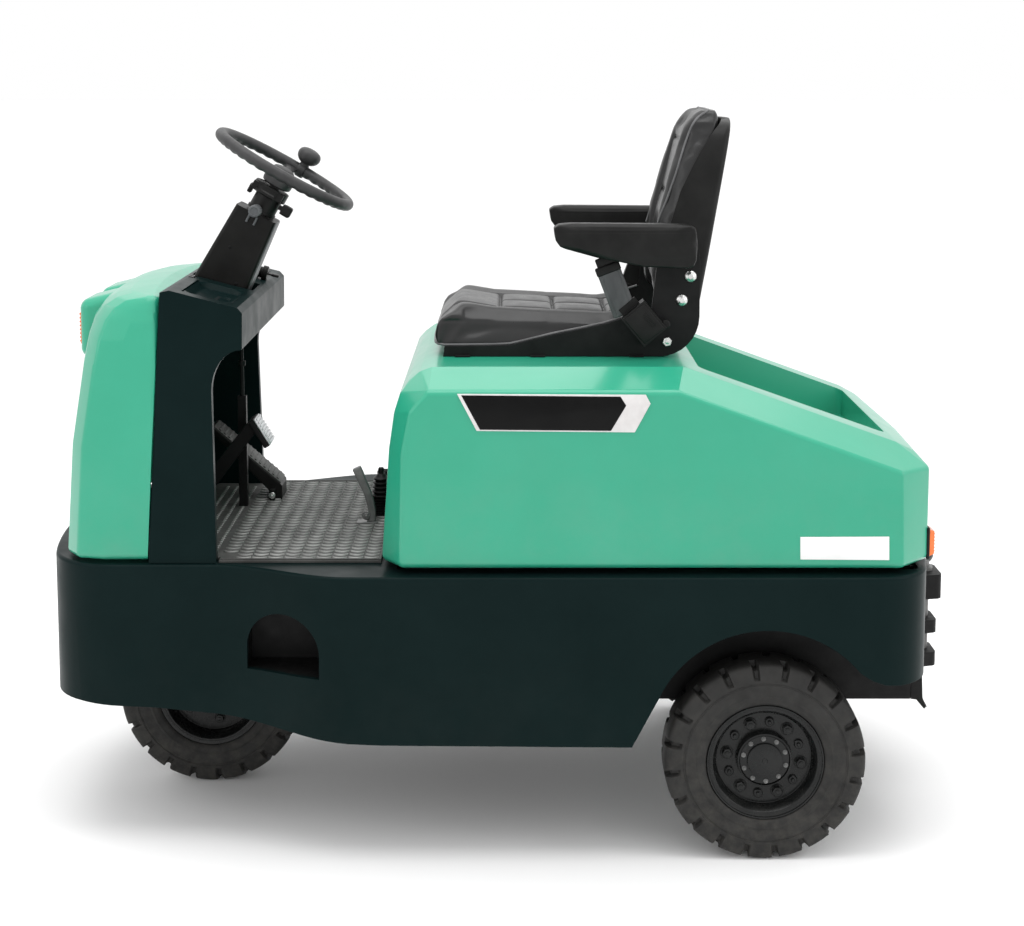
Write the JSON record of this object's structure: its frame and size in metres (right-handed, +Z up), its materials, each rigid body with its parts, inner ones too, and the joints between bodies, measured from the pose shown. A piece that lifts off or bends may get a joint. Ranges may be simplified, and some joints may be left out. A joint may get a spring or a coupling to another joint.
{
  "type": "airport baggage tug",
  "caption": "Three-wheeled electric baggage tug with a steered front wheel, open driver's station, tilting battery hood carrying the seat, storage tray and rear drawbar coupling.",
  "frame": {"origin": "on the ground under the middle of the vehicle's bounding box", "axes": "+X forward, +Y to the driver's left, +Z up"},
  "size_m": [1.9724, 1, 1.5247],
  "materials": {
    "dark_paint": "satin",
    "green_paint": "gloss",
    "black_steel": "matt",
    "rubber_mat": "matt",
    "grey_plastic": "matt",
    "black_plastic": "matt",
    "zinc_steel": "satin",
    "lamp_glass": "gloss",
    "amber_lens": "gloss",
    "battery_case": "matt",
    "vinyl": "satin",
    "rim_paint": "satin",
    "tyre": "matt"
  },
  "bodies": {
    "chassis": {"chassis_skirt": "dark_paint", "inner_frame": "black_steel", "wheel_liners": "black_steel", "step_pockets": "black_steel", "floor_plate": "rubber_mat", "front_cowl": "green_paint", "dash_console": "dark_paint", "steering_shroud": "grey_plastic", "steering_column": "black_plastic", "dash_controls": "grey_plastic", "brake_pedal": "black_steel", "accelerator_pedal": "black_plastic", "pedal_rod": "black_steel", "latch_lever": "zinc_steel", "battery_connector": "black_plastic", "headlamps": "lamp_glass", "indicator_lamps": "amber_lens", "battery_pack": "battery_case", "rear_axle": "black_steel", "drive_motor": "black_steel", "tow_coupling": "black_steel", "tow_pin": "zinc_steel", "rear_apron": "black_steel", "hood_hinges": "black_steel"},
    "hood": {"rear_hood": "green_paint", "hood_knuckles": "black_steel", "rear_lamps": "amber_lens", "seat_frame": "black_steel", "seat_cushion": "vinyl", "seat_back": "vinyl", "seat_back_shell": "black_plastic", "belt_retractor": "black_plastic", "belt_buckle": "black_plastic"},
    "armrest_left": {"armrest_left": "black_plastic"},
    "armrest_right": {"armrest_right": "black_plastic"},
    "steering_wheel": {"steering_wheel": "black_plastic", "spinner_knob": "black_plastic"},
    "steer_fork": {"steer_fork": "black_steel", "front_axle": "zinc_steel"},
    "front_wheel": {"front_wheel": "rim_paint", "front_tyre": "tyre"},
    "rear_wheel_left": {"rear_wheel_left": "rim_paint", "rear_tyre_left": "tyre"},
    "rear_wheel_right": {"rear_wheel_right": "rim_paint", "rear_tyre_right": "tyre"}
  },
  "joints": [
    {"name": "hood_tilt", "type": "hinge", "parent": "chassis", "child": "hood", "pos_m": [-0.89925, 0, 0.616], "axis": [0, -1, 0], "range_deg": [0, 50]},
    {"name": "armrest_left_lift", "type": "hinge", "parent": "hood", "child": "armrest_left", "pos_m": [-0.38725, 0.25, 1.24], "axis": [0, -1, 0], "range_deg": [0, 85]},
    {"name": "armrest_right_lift", "type": "hinge", "parent": "hood", "child": "armrest_right", "pos_m": [-0.38725, -0.25, 1.24], "axis": [0, -1, 0], "range_deg": [0, 85]},
    {"name": "steer", "type": "hinge", "parent": "chassis", "child": "steer_fork", "pos_m": [0.67075, 0, 0.5], "axis": [0, 0, 1], "range_deg": [-75, 75]},
    {"name": "front_wheel_roll", "type": "hinge", "parent": "steer_fork", "child": "front_wheel", "pos_m": [0.67075, 0, 0.2075], "axis": [0, 1, 0], "continuous": true},
    {"name": "rear_left_roll", "type": "hinge", "parent": "chassis", "child": "rear_wheel_left", "pos_m": [-0.53425, 0.434, 0.2075], "axis": [0, 1, 0], "continuous": true},
    {"name": "rear_right_roll", "type": "hinge", "parent": "chassis", "child": "rear_wheel_right", "pos_m": [-0.53425, -0.434, 0.2075], "axis": [0, 1, 0], "continuous": true},
    {"name": "steering_wheel_turn", "type": "hinge", "parent": "chassis", "child": "steering_wheel", "pos_m": [0.49145, 0, 1.39765], "axis": [-0.5, 0, 0.866], "range_deg": [-450, 450]}
  ],
  "couplings": [
    {"joint": "steering_wheel_turn", "follows": "steer", "ratio": 6}
  ]
}
